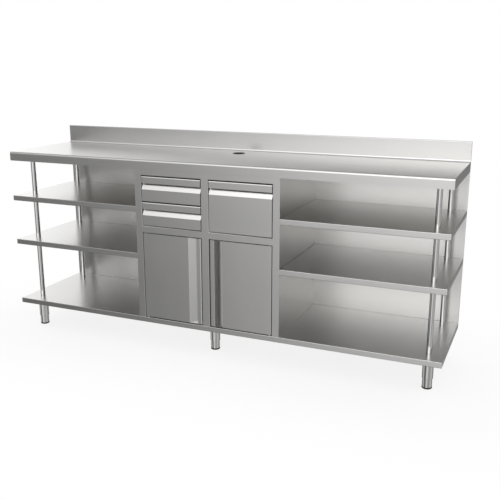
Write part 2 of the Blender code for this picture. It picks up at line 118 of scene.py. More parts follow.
class Side(Enum):
    """A side of the counter, with its sign on X."""

    LEFT = -1
    RIGHT = 1


class Grain(Enum):
    """The way the brushing runs, as the turn that lays it along X, Y or Z."""

    ALONG_X = (0.0, 0.0, 0.0)
    ALONG_Y = (0.0, 0.0, math.pi / 2)
    ALONG_Z = (0.0, math.pi / 2, 0.0)


class Slot(Enum):
    """A material slot of the record."""

    BRUSHED = "brushed_steel"
    POLISHED = "polished_steel"
    ZINC = "zinc_plate"
    PLASTIC = "dark_plastic"
    RUBBER = "black_rubber"
    BOARD = "board"


def unit(vector: Array) -> Array:
    """The vector at length one."""
    return vector / np.linalg.norm(vector)


def bent_line(corners: Sequence[Corner], steps: int = 8) -> Array:
    """Draws an open line through corners, with an arc at each corner that has a radius.

    An arc touches both sides of its corner: its centre lies on the bisector, radius / sin(half angle)
    from the corner, and its points are the centre plus the first arm turned evenly to the second. One
    more point beside each end of an arc keeps the flats' shading flat.

    Args:
        corners: (u, v, radius) of each corner; the first and last have no arc.
        steps: segments in an arc.

    Returns:
        The (n, 2) points.
    """
    places = np.array([corner[:2] for corner in corners], float)
    runs = [places[:1]]
    for before, corner, after, (_, _, radius) in zip(places, places[1:], places[2:], corners[1:-1]):
        if radius == 0:
            runs.append(corner[None])
            continue
        back = unit(before - corner)
        ahead = unit(after - corner)
        half = math.acos(float(back @ ahead)) / 2
        reach = radius / math.tan(half)
        centre = corner + unit(back + ahead) * radius / math.sin(half)
        start = corner + back * reach - centre
        end = corner + ahead * reach - centre
        turn = math.copysign(math.pi - 2 * half, start[0] * end[1] - start[1] * end[0])
        angles = np.linspace(0, turn, steps + 1)[:, None]
        quarter = np.array((-start[1], start[0]))
        runs.append((corner + back * (reach + SUPPORT))[None])
        runs.append(centre + np.cos(angles) * start + np.sin(angles) * quarter)
        runs.append((corner + ahead * (reach + SUPPORT))[None])
    runs.append(places[-1:])
    return np.concatenate(runs)


def offset_line(line: Array, distance: float) -> Array:
    """Moves a line sideways by a distance: each point goes along the mitre of its two segments' normals.

    Args:
        line: (n, 2) points.
        distance: how far to the left of the line's course.

    Returns:
        The moved (n, 2) points.
    """
    ahead = np.diff(line, axis=0)
    ahead /= np.linalg.norm(ahead, axis=1)[:, None]
    normal = np.stack((-ahead[:, 1], ahead[:, 0]), axis=1)
    before = np.concatenate((normal[:1], normal))
    after = np.concatenate((normal, normal[-1:]))
    mitre = (before + after) / (1 + np.sum(before * after, axis=1))[:, None]
    return line + distance * mitre


def stations_between(start: float, end: float) -> Array:
    """Places along a straight run: its ends, with a close pair inside that keeps the flats flat."""
    return np.array((start, start + SUPPORT, end - SUPPORT, end))


class Patchwork:
    """Surface patches that are welded into one closed piece."""

    def __init__(self) -> None:
        """Starts with no patch."""
        self.points: list[Array] = []
        self.faces: list[list[int]] = []
        self.count = 0

    def _take(self, points: Array) -> int:
        """Stores points.

        Args:
            points: (..., 3) points.

        Returns:
            The number of the first.
        """
        first = self.count
        self.points.append(points.reshape(-1, 3))
        self.count += len(self.points[-1])
        return first

    def grid(self, points: Array, keep: Array | None = None) -> None:
        """Adds a grid of points as four-cornered faces.

        Args:
            points: (rows, columns, 3) points.
            keep: (rows - 1, columns - 1) truth of the cells that become faces, all of them if left out.
        """
        rows, columns = points.shape[:2]
        index = np.arange(rows * columns).reshape(rows, columns) + self._take(points)
        cells = np.stack((index[:-1, :-1], index[:-1, 1:], index[1:, 1:], index[1:, :-1]), axis=-1)
        kept = cells.reshape(-1, 4) if keep is None else cells[keep]
        self.faces.extend(kept.tolist())

    def polygon(self, loop: Array) -> None:
        """Adds one flat face round a loop of points."""
        first = self._take(loop)
        self.faces.append(list(range(first, first + len(loop))))

    def mesh(self, name: str) -> bpy.types.Mesh:
        """Welds the patches and turns their faces outwards.

        Args:
            name: the mesh's name.

        Returns:
            The finished mesh, smooth apart from its sharp edges.
        """
        mesh = bpy.data.meshes.new(name)
        mesh.from_pydata(np.concatenate(self.points), [], self.faces)
        work = bmesh.new()
        work.from_mesh(mesh)
        bmesh.ops.remove_doubles(work, verts=work.verts, dist=WELD)
        bmesh.ops.delete(work, geom=[vert for vert in work.verts if not vert.link_faces], context="VERTS")
        bmesh.ops.recalc_face_normals(work, faces=work.faces)
        work.to_mesh(mesh)
        work.free()
        mesh.polygons.foreach_set("use_smooth", np.ones(len(mesh.polygons), bool))
        mesh.set_sharp_from_angle(angle=SHARP_ANGLE)
        return mesh


def folded_sheet(middle: Array, sheet: float, axis: Axis, start: float, end: float) -> Patchwork:
    """Makes a folded sheet: its middle line moved half the sheet to each side, and carried along an axis.

    Args:
        middle: (n, 2) points of the section's middle line.
        sheet: the thickness.
        axis: the way it is carried.
        start: where it begins.
        end: where it ends.

    Returns:
        The patchwork that holds it.
    """
    left = offset_line(middle, sheet / 2)
    right = offset_line(middle, -sheet / 2)
    section = np.concatenate((left, right[::-1], left[:1]))
    patch = Patchwork()
    patch.grid(axis.carry(section, stations_between(start, end)))
    for station in (start, end):
        patch.grid(np.stack([axis.lay(line, station) for line in (left, right)]))
    return patch


@dataclass(frozen=True)
class Plane:
    """A working plane: its depth axis, where depth 0 lies on it, and the way depth grows."""

    axis: Axis
    origin: float
    sense: int

    def place(self, points: Array, depth: Array | float) -> Array:
        """Puts points of the plane into space.

        Args:
            points: (..., 2) points of the plane.
            depth: their depth.

        Returns:
            The (..., 3) points.
        """
        placed = np.empty((*points.shape[:-1], 3))
        placed[..., list(self.axis.others)] = points
        placed[..., self.axis.value] = self.origin + self.sense * depth
        return placed


@dataclass(frozen=True)
class RoundHole:
    """A round hole in a flat sheet, with a square of sheet round it that is drawn in to the circle."""

    centre: Pair
    radius: float

    @property
    def reach(self) -> float:
        """Half the width of the square."""
        return self.radius * HOLE_SQUARE

    def lines(self, index: int) -> Array:
        """Grid lines that cross the square: the centre plus reach times the tangent of even angles."""
        angles = np.linspace(-EIGHTH_TURN, EIGHTH_TURN, HOLE_SIDES // 4 + 1)
        return self.centre[index] + self.reach * np.tan(angles)

    def covers(self, points: Array) -> Array:
        """Which (..., 2) points lie in the square."""
        return np.all(np.abs(points - np.array(self.centre)) < self.reach, axis=-1)

    def ring(self, plane: Plane, depths: Pair) -> Array:
        """The sheet round the hole: square to circle, the wall, and circle to square on the other face.

        A point of the square is reach times (cos, sin) over the larger of the two, so it is on a grid line.

        Args:
            plane: the sheet's plane.
            depths: the depth of the sheet's two faces.

        Returns:
            The (4, n, 3) grid.
        """
        angles = np.linspace(-EIGHTH_TURN, FULL_TURN - EIGHTH_TURN, HOLE_SIDES + 1)
        around = np.stack((np.cos(angles), np.sin(angles)), axis=1)
        square = np.array(self.centre) + self.reach * around / np.max(np.abs(around), axis=1)[:, None]
        circle = np.array(self.centre) + self.radius * around
        near, far = depths
        rows = ((square, near), (circle, near), (circle, far), (square, far))
        return np.stack([plane.place(line, depth) for line, depth in rows])


@dataclass(frozen=True)
class Window:
    """A rectangular opening in a flat sheet; one that is open below runs out over the lower border."""

    low: Pair
    high: Pair
    open_below: bool = False


@dataclass
class PressedSheet:
    """A flat sheet with its border or its windows folded back, and round holes.

    The flat is a grid of two parameters in the plane. A fold is a section (outward, depth) carried round the
    flat's border: border + outward times the border's own way out, with the diagonal at the corners, so that
    the folds meet in mitres.
    """

    plane: Plane
    low: Pair
    high: Pair
    sheet: float
    bend: float
    depth: float
    hem: float = 0.0
    border_folded: bool = True
    windows: Sequence[Window] = ()
    holes: Sequence[RoundHole] = ()

    @property
    def inset(self) -> float:
        """From the fold's outer face to where the flat ends."""
        return self.bend + 2 * SUPPORT

    def fold_section(self) -> Array:
        """The fold's section, down its outer face and back up its inner face.

        Returns:
            The (n, 2) points of outward and depth.
        """
        half = self.sheet / 2
        across = self.inset - half
        radius = self.bend - half
        corners = [(0, half, 0), (across, half, radius)]
        if self.hem:
            corners += [(across, self.depth - half, radius), (across - self.hem, self.depth - half, 0)]
        else:
            corners.append((across, self.depth, 0))
        middle = bent_line(corners, steps=6)
        return np.concatenate((offset_line(middle, -half), offset_line(middle, half)[::-1]))

    def grid_lines(self, index: int) -> Array:
        """The flat's grid lines along one way: its border, its windows' borders and its holes' lines.

        Args:
            index: which of the plane's two ways.

        Returns:
            The places of the lines, in order.
        """
        inset = self.inset if self.border_folded else 0.0
        first = self.low[index] + inset
        last = self.high[index] - inset
        lines = [np.array((first, last))]
        for window in self.windows:
            lines.append(np.array((window.low[index] - self.inset, window.high[index] + self.inset)))
        lines += [hole.lines(index) for hole in self.holes]
        merged = np.unique(np.round(np.concatenate(lines), GRID_DIGITS))
        return merged[(merged >= first - WELD) & (merged <= last + WELD)]

    @staticmethod
    def border_path(across: Array, up: Array, sense: int) -> tuple[Array, Array]:
        """The path round a rectangle of grid lines, and the way out at each of its points.

        Args:
            across: the grid lines that the path crosses on its lower and upper sides.
            up: the grid lines that it crosses on its right and left sides.
            sense: 1 where the way out leads off the rectangle, -1 where it leads into it.

        Returns:
            The (n, 2) path, right side first and closed, and the (n, 2) ways out.
        """
        sides = (
            (np.full(len(up) - 1, across[-1]), up[:-1], (1, 0), (1, -1)),
            (across[:0:-1], np.full(len(across) - 1, up[-1]), (0, 1), (1, 1)),
            (np.full(len(up) - 1, across[0]), up[:0:-1], (-1, 0), (-1, 1)),
            (across[:-1], np.full(len(across) - 1, up[0]), (0, -1), (-1, -1)),
        )
        path = np.concatenate([np.stack((first, second), axis=1) for first, second, _, _ in sides])
        ways = [np.array((corner, *[way] * (len(first) - 1)), float) for first, _, way, corner in sides]
        out = np.concatenate(ways)
        return np.concatenate((path, path[:1])), sense * np.concatenate((out, out[:1]))

    def fold(self, patch: Patchwork, path: Array, out: Array) -> None:
        """Adds a fold along a path: path + way out times the section's outward, at the section's depth.

        Args:
            patch: the patchwork that takes it.
            path: (n, 2) points of the flat's border.
            out: (n, 2) ways out.
        """
        section = self.fold_section()
        points = path[:, None, :] + out[:, None, :] * section[None, :, :1]
        patch.grid(self.plane.place(points, section[None, :, 1]))

    def window_fold(self, patch: Patchwork, window: Window, across: Array, up: Array) -> None:
        """Folds the sheet back round a window.

        Args:
            patch: the patchwork that takes it.
            window: the opening.
            across: the flat's grid lines along the first way.
            up: the flat's grid lines along the second way.
        """
        span = []
        for index, lines in enumerate((across, up)):
            first = window.low[index] - self.inset - WELD
            last = window.high[index] + self.inset + WELD
            span.append(lines[(lines >= first) & (lines <= last)])
        path, out = self.border_path(*span, sense=-1)
        if window.open_below:
            count = len(span[0]) + 2 * len(span[1]) - 2
            path = path[:count]
            out = out[:count]
            out[0] = (-1, 0)
            out[-1] = (1, 0)
            section = self.fold_section()
            middle = len(section) // 2
            for end in (0, -1):
                points = path[end] + out[end] * section[:, :1]
                rim = self.plane.place(points, section[:, 1])
                patch.grid(np.stack((rim[:middle], rim[:middle - 1:-1])))
        self.fold(patch, path, out)

    def build(self) -> Patchwork:
        """Makes the whole sheet: both faces of the flat, the holes' walls and the folds.

        Returns:
            The patchwork that holds it.
        """
        patch = Patchwork()
        across = self.grid_lines(0)
        up = self.grid_lines(1)
        flat = np.stack(np.meshgrid(across, up, indexing="ij"), axis=-1)
        middles = (flat[:-1, :-1] + flat[1:, 1:]) / 2
        keep = np.ones(middles.shape[:2], bool)
        for hole in self.holes:
            keep &= ~hole.covers(middles)
            patch.grid(hole.ring(self.plane, (0.0, self.sheet)))
        for window in self.windows:
            low = np.array(window.low) - self.inset
            high = np.array(window.high) + self.inset
            keep &= ~np.all((middles > low) & (middles < high), axis=-1)
            self.window_fold(patch, window, across, up)
        for depth in (0.0, self.sheet):
            patch.grid(self.plane.place(flat, depth), keep)
        if self.border_folded:
            self.fold(patch, *self.border_path(across, up, sense=1))
            return patch
        depths = np.array((0.0, self.sheet))[:, None]
        borders = [(flat[end], keep[end]) for end in (0, -1)]
        borders += [(flat[:, end], keep[:, end]) for end in (0, -1)]
        for line, kept in borders:
            patch.grid(self.plane.place(np.stack((line, line)), depths), kept[None])
        return patch


@dataclass(frozen=True)
class Noise:
    """A noise pattern: its scale along each way, its detail, and its share where patterns are summed."""

    scale: Place
    detail: float
    share: float = 1.0


class NodeTree:
    """A short way to place and link shader nodes in a tree."""

    # Sockets of a Mix node by number, because their names repeat.
    MIX_SHARE = 0
    MIX_NUMBERS = (2, 3)
    MIX_COLOURS = (6, 7)
    MIXED_NUMBER = 0
    MIXED_COLOUR = 2

    def __init__(self, tree: bpy.types.NodeTree) -> None:
        """Works on one tree."""
        self.tree = tree

    def feed(self, node: Node, inputs: dict[str | int, object]) -> None:
        """Gives a node's inputs a value or a link.

        Args:
            node: the node.
            inputs: a value, or the socket of another node, for each named input.
        """
        for key, value in inputs.items():
            if isinstance(value, Socket):
                self.tree.links.new(value, node.inputs[key])
            else:
                node.inputs[key].default_value = value

    def add(self, kind: str, inputs: dict[str | int, object] | None = None, **settings: object) -> Node:
        """Places a node, sets its options, and feeds its inputs.

        Args:
            kind: the node's type.
            inputs: a value, or the socket of another node, for each named input.
            settings: options of the node.

        Returns:
            The node.
        """
        node = self.tree.nodes.new(kind)
        for name, value in settings.items():
            setattr(node, name, value)
        self.feed(node, inputs or {})
        return node

    def math(self, operation: str, *values: Socket | float) -> Socket:
        """The result of a Math node on numbers or sockets."""
        return self.add("ShaderNodeMath", dict(enumerate(values)), operation=operation).outputs[0]

    def remap(self, value: Socket, low: float, high: float, start: float, end: float) -> Socket:
        """A value carried evenly from one range to another, and held at its ends."""
        inputs = {"Value": value, "From Min": low, "From Max": high, "To Min": start, "To Max": end}
        return self.add("ShaderNodeMapRange", inputs).outputs["Result"]

    def noise(self, vector: Socket, pattern: Noise) -> Socket:
        """The value of a noise pattern over a vector.

        Args:
            vector: the place on the surface.
            pattern: the pattern.

        Returns:
            The value, from 0 to 1.
        """
        scaled = self.add("ShaderNodeVectorMath", {0: vector, 1: pattern.scale}, operation="MULTIPLY")
        inputs = {"Vector": scaled.outputs[0], "Scale": 1.0, "Detail": pattern.detail}
        inputs["Roughness"] = NOISE_ROUGHNESS
        return self.add("ShaderNodeTexNoise", inputs).outputs["Fac"]

    def weigh(self, share: float, first: Socket, second: Socket) -> Socket:
        """A share of one value plus the rest of another."""
        return self.math("MULTIPLY_ADD", first, share, self.math("MULTIPLY", second, 1.0 - share))

    def choose(self, share: Socket, first: Socket | float, second: Socket | float) -> Socket:
        """A number between two, by a share that changes."""
        inputs = {self.MIX_SHARE: share, **dict(zip(self.MIX_NUMBERS, (first, second)))}
        return self.add("ShaderNodeMix", inputs, data_type="FLOAT").outputs[self.MIXED_NUMBER]

    def blend(self, share: Socket, first: Colour, second: Colour) -> Socket:
        """A colour between two, by a share that changes over the surface."""
        inputs = {self.MIX_SHARE: share, **dict(zip(self.MIX_COLOURS, ((*first, 1.0), (*second, 1.0))))}
        return self.add("ShaderNodeMix", inputs, data_type="RGBA").outputs[self.MIXED_COLOUR]

    def either(self, share: Socket, first: Node, second: Node) -> Node:
        """One shader or another, by a share."""
        return self.add("ShaderNodeMixShader", {0: share, 1: first.outputs[0], 2: second.outputs[0]})


@dataclass(frozen=True)
class Mask:
    """An output of an effect: a sum of noise patterns, whose range from low to high becomes 0 to 1."""

    name: str
    patterns: tuple[Noise, ...]
    low: float = 0.3
    high: float = 0.7


@dataclass(frozen=True)
class Effect:
    """A shader group of masks that change over the surface, built once and shared by several finishes."""

    name: str
    masks: tuple[Mask, ...]

    def group(self) -> bpy.types.NodeTree:
        """The effect's group, made the first time it is asked for.

        Returns:
            The group, with a Vector input and an output for each mask.
        """
        made = bpy.data.node_groups.get(self.name)
        if made is not None:
            return made
        made = bpy.data.node_groups.new(self.name, "ShaderNodeTree")
        made.interface.new_socket("Vector", in_out="INPUT", socket_type="NodeSocketVector")
        for mask in self.masks:
            made.interface.new_socket(mask.name, in_out="OUTPUT", socket_type="NodeSocketFloat")
        nodes = NodeTree(made)
        vector = nodes.add("NodeGroupInput").outputs["Vector"]
        results = {}
        for mask in self.masks:
            total = 0.0
            for pattern in mask.patterns:
                total = nodes.math("MULTIPLY_ADD", nodes.noise(vector, pattern), pattern.share, total)
            results[mask.name] = nodes.remap(total, mask.low, mask.high, 0.0, 1.0)
        nodes.add("NodeGroupOutput", results)
        return made

    def place(self, nodes: NodeTree, vector: Socket) -> bpy.types.NodeOutputs:
        """Places the effect in a material, and gives its masks."""
        return nodes.add("ShaderNodeGroup", {"Vector": vector}, node_tree=self.group()).outputs


# Fine streaks along the vector's first way, and broader soft bands.
BRUSHING = Effect(
    "brushing",
    (
        Mask("Streaks", (Noise((9.0, 850.0, 850.0), 3.0),)),
        Mask("Bands", (Noise((0.9, 15.0, 15.0), 2.0),)),
    ),
)
# Soft marks of wiping and of hands.
HANDLING = Effect(
    "handling",
    (Mask("Smears", (Noise((3.1, 3.1, 3.1), 2.0, 0.65), Noise((17.0, 17.0, 17.0), 3.0, 0.35)), 0.38, 0.62),),
)
# Small even specks and patches, as in moulded plastic, plating or board.
SPECKLE = Effect(
    "speckle",
    (
        Mask("Specks", (Noise((900.0, 900.0, 900.0), 2.0),)),
        Mask("Patches", (Noise((60.0, 60.0, 60.0), 3.0),), 0.35, 0.65),
    ),
)


@dataclass(frozen=True)
class Finish:
    """What every finish has: its slot, two colours and two roughnesses that are mixed, and its relief."""

    name: str
    slot: Slot
    colour: Colour
    shade: Colour
    roughness: Pair
    relief: float

    def material(self) -> bpy.types.Material:
        """The finish's material, made the first time it is asked for.

        Returns:
            The material.
        """
        made = bpy.data.materials.get(self.name)
        if made is None:
            made = bpy.data.materials.new(self.name)
            made.use_nodes = True
            self.dress(NodeTree(made.node_tree), made.node_tree.nodes["Principled BSDF"])
        return made

    def dress(self, nodes: NodeTree, shader: Node) -> None:
        """Fills in the material's nodes; each kind of finish has its own way."""
        raise NotImplementedError

    def connect(self, nodes: NodeTree, shader: Node, share: Socket, height: Socket, reach: float) -> None:
        """Feeds the mixed colour, the mixed roughness and the relief to the shader.

        Args:
            nodes: the material's nodes.
            shader: its shader.
            share: the share of the lighter colour and of the second roughness.
            height: the relief's pattern.
            reach: the relief's height.
        """
        bump = nodes.add("ShaderNodeBump", {"Height": height, "Strength": self.relief, "Distance": reach})
        inputs = {
            "Base Color": nodes.blend(share, self.shade, self.colour),
            "Roughness": nodes.remap(share, 0.0, 1.0, *self.roughness),
            "Normal": bump.outputs["Normal"],
        }
        nodes.feed(shader, inputs)


@dataclass(frozen=True)
class SteelFinish(Finish):
    """Satin or polished stainless steel: streaks in relief, bands and smears in colour and roughness."""

    grain: Grain
    band_share: float = 0.6
    streak_height: float = 0.0001

    def dress(self, nodes: NodeTree, shader: Node) -> None:
        """Fills in the material's nodes.

        Args:
            nodes: the material's nodes.
            shader: its shader.
        """
        place = nodes.add("ShaderNodeTexCoord").outputs["Object"]
        along = nodes.add("ShaderNodeMapping", {"Vector": place, "Rotation": self.grain.value}).outputs[0]
        brushing = BRUSHING.place(nodes, along)
        smears = HANDLING.place(nodes, place)["Smears"]
        mixed = nodes.weigh(self.band_share, brushing["Bands"], smears)
        self.connect(nodes, shader, mixed, brushing["Streaks"], self.streak_height)
        shader.inputs["Metallic"].default_value = 1.0


@dataclass(frozen=True)
class SpeckledFinish(Finish):
    """Plating, moulded plastic, rubber or board: colours mixed in patches and specks, and a fine relief."""

    metallic: float = 0.0
    gloss: float = 0.5
    speck_share: float = 0.5
    speck_height: float = 0.0002

    def dress(self, nodes: NodeTree, shader: Node) -> None:
        """Fills in the material's nodes.

        Args:
            nodes: the material's nodes.
            shader: its shader.
        """
        speckle = SPECKLE.place(nodes, nodes.add("ShaderNodeTexCoord").outputs["Object"])
        mixed = nodes.weigh(self.speck_share, speckle["Specks"], speckle["Patches"])
        self.connect(nodes, shader, mixed, speckle["Specks"], self.speck_height)
        shader.inputs["Metallic"].default_value = self.metallic
        shader.inputs["Specular IOR Level"].default_value = self.gloss


STEEL_RELIEF = 0.01
SATIN_COLOURS = ((0.606, 0.602, 0.592), (0.594, 0.590, 0.580))
SATIN_ROUGHNESS = (0.278, 0.298)
BRIGHT_COLOURS = ((0.722, 0.718, 0.710), (0.708, 0.704, 0.696))
BRIGHT_ROUGHNESS = (0.07, 0.10)


def satin(name: str, grain: Grain) -> SteelFinish:
    """Satin stainless sheet with its brushing along one way."""
    return SteelFinish(name, Slot.BRUSHED, *SATIN_COLOURS, SATIN_ROUGHNESS, STEEL_RELIEF, grain)


def bright(name: str, grain: Grain) -> SteelFinish:
    """Polished stainless steel with its brushing along one way."""
    return SteelFinish(name, Slot.POLISHED, *BRIGHT_COLOURS, BRIGHT_ROUGHNESS, STEEL_RELIEF, grain)


SATIN_LONG = satin("satin_sheet_long", Grain.ALONG_X)
SATIN_DEEP = satin("satin_sheet_deep", Grain.ALONG_Y)
SATIN_UPRIGHT = satin("satin_sheet_upright", Grain.ALONG_Z)
BRIGHT_TUBE = bright("bright_tube", Grain.ALONG_Z)
BRIGHT_ROD = bright("bright_rod", Grain.ALONG_X)
ZINC_PLATE = SpeckledFinish(
    "zinc_plate", Slot.ZINC, (0.56, 0.57, 0.58), (0.47, 0.48, 0.50), (0.30, 0.44), 0.05, metallic=1.0
)
DARK_PLASTIC = SpeckledFinish(
    "dark_plastic", Slot.PLASTIC, (0.034, 0.034, 0.035), (0.022, 0.022, 0.023), (0.50, 0.62), 0.12, gloss=0.2
)
BLACK_RUBBER = SpeckledFinish(
    "black_rubber", Slot.RUBBER, (0.028, 0.027, 0.026), (0.016, 0.016, 0.016), (0.62, 0.80), 0.20, gloss=0.3
)
CORE_BOARD = SpeckledFinish(
    "core_board", Slot.BOARD, (0.43, 0.38, 0.31), (0.33, 0.28, 0.22), (0.74, 0.88), 0.25
)


def centre_of(node: str) -> Place:
    """The middle of a CAD node's box."""
    low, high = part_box(node)
    return tuple((low + high) / 2)


def add_piece(
    patch: Patchwork, name: str, node: str, finish: Finish, added: bool = False
) -> bpy.types.Object:
    """Makes a piece that stands for a CAD node, or is added to it, and moves with its body.

    Args:
        patch: the piece's surface.
        name: the piece's name.
        node: the CAD node.
        finish: its finish.
        added: whether the node, or what stands for it, stays in view beside the piece.

    Returns:
        The piece's object.
    """
    mesh = patch.mesh(name)
    mesh.materials.append(finish.material())
    piece = bpy.data.objects.new(name, mesh)
    bpy.context.scene.collection.objects.link(piece)
    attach(piece, BODY_OF[node])
    if not added:
        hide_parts(node)
    task = "is added to" if added else "stands for"
    LOG.info("%s %s %s on %s, %d faces", name, task, node, BODY_OF[node], len(mesh.polygons))
    return piece


def turned_piece(
    outline: Array, name: str, node: str, finish: Finish, axis: Axis = Axis.Z, added: bool = False
) -> bpy.types.Object:
    """Makes a turned piece about a CAD node's middle.

    Point (radius, height) of the outline goes round a circle of that radius at that height.

    Args:
        outline: (n, 2) points of radius and height.
        name: the piece's name.
        node: the CAD node.
        finish: its finish.
        axis: the axis it turns about.
        added: whether the node, or what stands for it, stays in view beside the piece.

    Returns:
        The piece's object.
    """
    first, second = axis.others
    centre = centre_of(node)
    angles = np.linspace(0, FULL_TURN, ROUND_SIDES + 1)
    grid = np.empty((len(outline), len(angles), 3))
    grid[..., axis.value] = outline[:, 1:]
    grid[..., first] = centre[first] + outline[:, :1] * np.cos(angles)
    grid[..., second] = centre[second] + outline[:, :1] * np.sin(angles)
    patch = Patchwork()
    patch.grid(grid)
    return add_piece(patch, name, node, finish, added)


def dress_node(node: str, finish: Finish) -> None:
    """Gives a CAD node that stays in view its finish.

    Args:
        node: the CAD node.
        finish: its finish.
    """
    part = frame["nodes"][node]
    part.data.materials.clear()
    part.data.materials.append(finish.material())
    LOG.info("%s stays, in %s", node, finish.name)


@dataclass
class Worktop:
    """The worktop's folded sheet with its upstand and ends, the board, and the cable bush and collar."""

    sheet: float = 0.0015
    upstand_rise: float = 0.108
    upstand_thickness: float = 0.012
    nose_bend: float = 0.011
    cove_bend: float = 0.010
    upstand_bend: float = 0.003
    end_round: float = 0.0008
    end_steps: int = 5
    hole_radius: float = 0.031
    bush_wall: float = 0.003
    bush_flange: float = 0.004
    bush_step_round: float = 0.0005
    bush_brim_round: float = 0.0008
    bush_bore_round: float = 0.0012
    bush_top_round: float = 0.0006
    collar_radius: float = 0.0355
    collar_height: float = 0.0018
    collar_depth: float = 0.006
    collar_wall: float = 0.0015
    collar_lift: float = 0.0001
    collar_fit: float = 0.0005
    collar_under_round: float = 0.0002
    collar_top_round: float = 0.0012
    collar_bore_round: float = 0.0010
    collar_foot_round: float = 0.0004

    @property
    def level(self) -> float:
        """The height of the worktop's face."""
        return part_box("worktop")[1].z - self.upstand_rise

    def build(self) -> None:
        """Builds and dresses the worktop."""
        self.folded_top()
        self.cable_bush()
        self.cable_collar()
        dress_node("worktop_core", CORE_BOARD)

    def outline(self, hole: RoundHole) -> Array:
        """The sheet's outer section, from the fascia's lower edge over the top to the back's lower edge.

        Args:
            hole: the cable hole, whose grid lines the top takes up.

        Returns:
            The (n, 2) points of Y and Z.
        """
        low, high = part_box("worktop")
        wall = high.y - self.upstand_thickness
        corners = [(low.y, low.z, 0), (low.y, self.level, self.nose_bend)]
        corners += [(y, self.level, 0) for y in hole.lines(1).tolist()]
        corners += [
            (wall, self.level, self.cove_bend),
            (wall, high.z, self.upstand_bend),
            (high.y, high.z, self.upstand_bend),
            (high.y, low.z, 0),
        ]
        return bent_line(corners)

    def skin(self, patch: Patchwork, outline: Array, hole: RoundHole, stations: Array) -> None:
        """Carries a section along X and leaves out the square round the cable hole.

        Args:
            patch: the patchwork that takes it.
            outline: (n, 2) points of the section.
            hole: the cable hole.
            stations: the places along X.
        """
        grid = Axis.X.carry(outline, stations)
        middles = (grid[:-1, :-1] + grid[1:, 1:]) / 2
        on_top = middles[..., 2] > self.level - 2 * self.sheet
        patch.grid(grid, ~(hole.covers(middles[..., :2]) & on_top))

    def folded_top(self) -> None:
        """The sheet: outer and inner skins, rounded ends, and the rim along its lower edges.

        The outer section is carried along X. Over the last end_round it moves in by end_round (1 - cos t)
        while X goes on by end_round sin t, so that the end plates meet it in a small round.
        """
        low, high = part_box("worktop")
        hole = RoundHole(centre_of("cable_bush")[:2], self.hole_radius)
        outline = self.outline(hole)
        inside = offset_line(outline, -self.sheet)
        lines = hole.lines(0)
        first = low.x + self.end_round
        last = high.x - self.end_round
        inner_first = low.x + self.sheet
        inner_last = high.x - self.sheet
        stations = np.concatenate(((first, first + SUPPORT), lines, (last - SUPPORT, last)))
        patch = Patchwork()
        self.skin(patch, outline, hole, stations)
        self.skin(patch, inside, hole, np.concatenate(((inner_first,), lines, (inner_last,))))
        patch.grid(hole.ring(Plane(Axis.Z, self.level, -1), (0.0, self.sheet)))
        turns = np.linspace(0, math.pi / 2, self.end_steps + 1)
        insets = np.append(self.end_round * (1 - np.cos(turns)), self.end_round + SUPPORT)
        runs = np.append(self.end_round * np.sin(turns), self.end_round)
        for sign, base, inner in ((-1, first, inner_first), (1, last, inner_last)):
            rings = zip(insets, base + sign * runs)
            rounded = np.stack([Axis.X.lay(offset_line(outline, -inset), x) for inset, x in rings])
            patch.grid(rounded)
            patch.polygon(rounded[-1])
            inner_end = Axis.X.lay(inside, inner)
            patch.polygon(inner_end)
            for end in (0, -1):
                fan = np.repeat(inner_end[end][None], len(rounded), axis=0)
                patch.grid(np.stack((rounded[:, end], fan)))
            patch.polygon(np.stack((rounded[-1, 0], rounded[-1, -1], inner_end[-1], inner_end[0])))
        inner_x = np.clip(stations, inner_first, inner_last)
        for line in (0, -1):
            outer_edge = Axis.X.carry(outline[[line]], stations)[:, 0]
            inner_edge = Axis.X.carry(inside[[line]], inner_x)[:, 0]
            patch.grid(np.stack((outer_edge, inner_edge)))
        add_piece(patch, "worktop_sheet", "worktop", SATIN_LONG)

    def cable_bush(self) -> None:
        """The plastic bush that lines the board's hole, turned from its section."""
        low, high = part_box("cable_bush")
        brim = (high.x - low.x) / 2
        outer = brim - self.bush_flange
        inner = outer - self.bush_wall
        shoulder = low.z + self.bush_wall
        middle = (high.z + shoulder) / 2
        corners = [
            (outer, middle, 0),
            (outer, shoulder, self.bush_step_round),
            (brim, shoulder, self.bush_brim_round),
            (brim, low.z, self.bush_brim_round),
            (inner, low.z, self.bush_bore_round),
            (inner, high.z, self.bush_top_round),
            (outer, high.z, self.bush_top_round),
            (outer, middle, 0),
        ]
        turned_piece(bent_line(corners, steps=4), "cable_bush_ring", "cable_bush", DARK_PLASTIC)

    def cable_collar(self) -> None:
        """The plastic collar that trims the hole: a thin brim on a short spigot, turned from its section."""
        level = self.level + self.collar_lift
        spigot = self.hole_radius - self.collar_fit
        bore = spigot - self.collar_wall
        top = level + self.collar_height
        foot = level - self.collar_depth
        middle = (level + foot) / 2
        corners = [
            (spigot, middle, 0),
            (spigot, level, 0),
            (self.collar_radius, level, self.collar_under_round),
            (self.collar_radius, top, self.collar_top_round),
            (bore, top, self.collar_bore_round),
            (bore, foot, self.collar_foot_round),
            (spigot, foot, self.collar_foot_round),
            (spigot, middle, 0),
        ]
        turned_piece(bent_line(corners, steps=4), "cable_collar", "cable_bush", DARK_PLASTIC, added=True)


